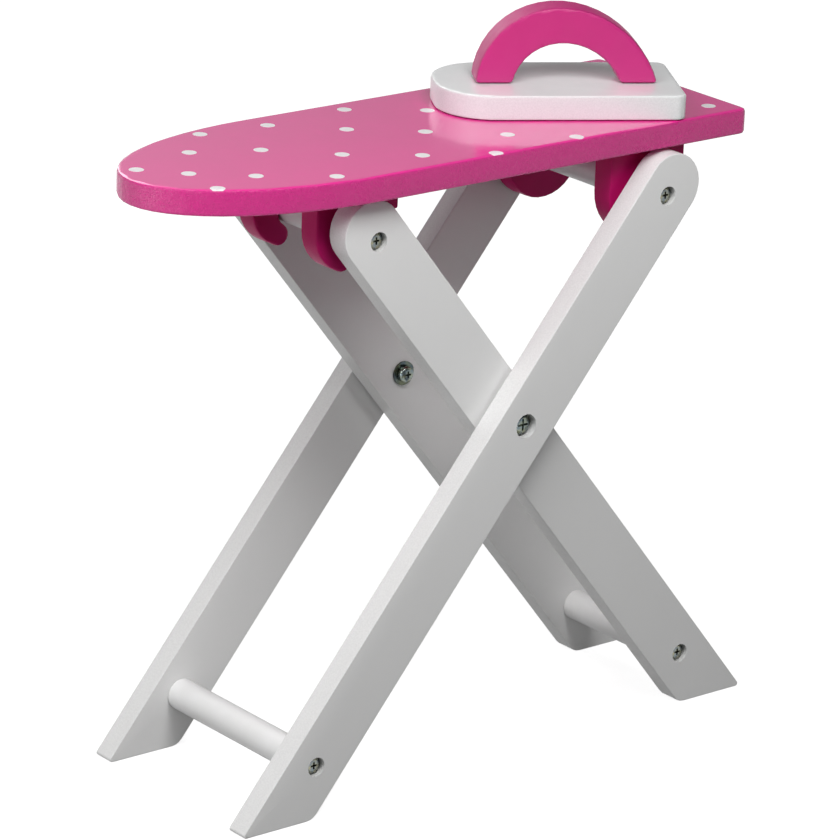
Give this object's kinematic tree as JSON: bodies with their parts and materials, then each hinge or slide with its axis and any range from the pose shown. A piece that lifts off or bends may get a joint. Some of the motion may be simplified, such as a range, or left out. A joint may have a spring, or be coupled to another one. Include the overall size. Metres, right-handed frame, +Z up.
{
  "type": "doll ironing board",
  "caption": "Wooden doll ironing board with crossed folding legs, a round-nosed board on hooks and a toy iron.",
  "frame": {"origin": "on the floor, midway between the ends of the board along X and between the legs along Y", "axes": "+Z up; +X towards the board's square heel, -X towards its round nose; Y along the dowels"},
  "size_m": [0.3463, 0.119, 0.3544],
  "materials": {
    "pink_paint": "gloss paint on wood",
    "white_paint": "satin paint on wood",
    "zinc_plate": "bright zinc plate",
    "beech_wood": "bare glued dowel pins"
  },
  "bodies": {
    "outer_frame": {"outer_leg_near": "white_paint", "outer_leg_far": "white_paint", "outer_top_dowel": "white_paint", "outer_bottom_dowel": "white_paint", "outer_top_screw_near": "zinc_plate", "outer_bottom_screw_near": "zinc_plate", "outer_top_screw_far": "zinc_plate", "outer_bottom_screw_far": "zinc_plate", "pivot_bolt_near": "zinc_plate", "pivot_bolt_washer_near": "zinc_plate", "pivot_sleeve_nut_near": "zinc_plate", "pivot_spacer_near": "zinc_plate", "pivot_bolt_far": "zinc_plate", "pivot_bolt_washer_far": "zinc_plate", "pivot_sleeve_nut_far": "zinc_plate", "pivot_spacer_far": "zinc_plate"},
    "inner_frame": {"inner_leg_near": "white_paint", "inner_leg_far": "white_paint", "inner_top_dowel": "white_paint", "inner_bottom_dowel": "white_paint", "inner_top_screw_near": "zinc_plate", "inner_bottom_screw_near": "zinc_plate", "inner_top_screw_far": "zinc_plate", "inner_bottom_screw_far": "zinc_plate"},
    "board": {"board": "pink_paint", "heel_bracket_near": "pink_paint", "heel_bracket_near_pin_1": "beech_wood", "heel_bracket_near_pin_2": "beech_wood", "nose_hook_near": "pink_paint", "nose_hook_near_pin_1": "beech_wood", "nose_hook_near_pin_2": "beech_wood", "heel_bracket_far": "pink_paint", "heel_bracket_far_pin_1": "beech_wood", "heel_bracket_far_pin_2": "beech_wood", "nose_hook_far": "pink_paint", "nose_hook_far_pin_1": "beech_wood", "nose_hook_far_pin_2": "beech_wood"},
    "iron": {"iron_base": "white_paint", "iron_handle": "pink_paint", "iron_screw_toe": "zinc_plate", "iron_screw_heel": "zinc_plate"}
  },
  "joints": [
    {"name": "leg_fold", "type": "hinge", "parent": "outer_frame", "child": "inner_frame", "pos_m": [0.01426, 0, 0.1715], "axis": [0, 1, 0], "range_deg": [0, 60]},
    {"name": "board_tip", "type": "hinge", "parent": "outer_frame", "child": "board", "pos_m": [0.09547, 0, 0.27108], "axis": [0, 1, 0], "range_deg": [0, 30]},
    {"name": "iron_lift", "type": "slide", "parent": "board", "child": "iron", "axis": [0, 0, 1], "range_m": [0, 0.1]}
  ],
  "couplings": [
    {"joint": "board_tip", "follows": "leg_fold", "ratio": 0.5}
  ]
}
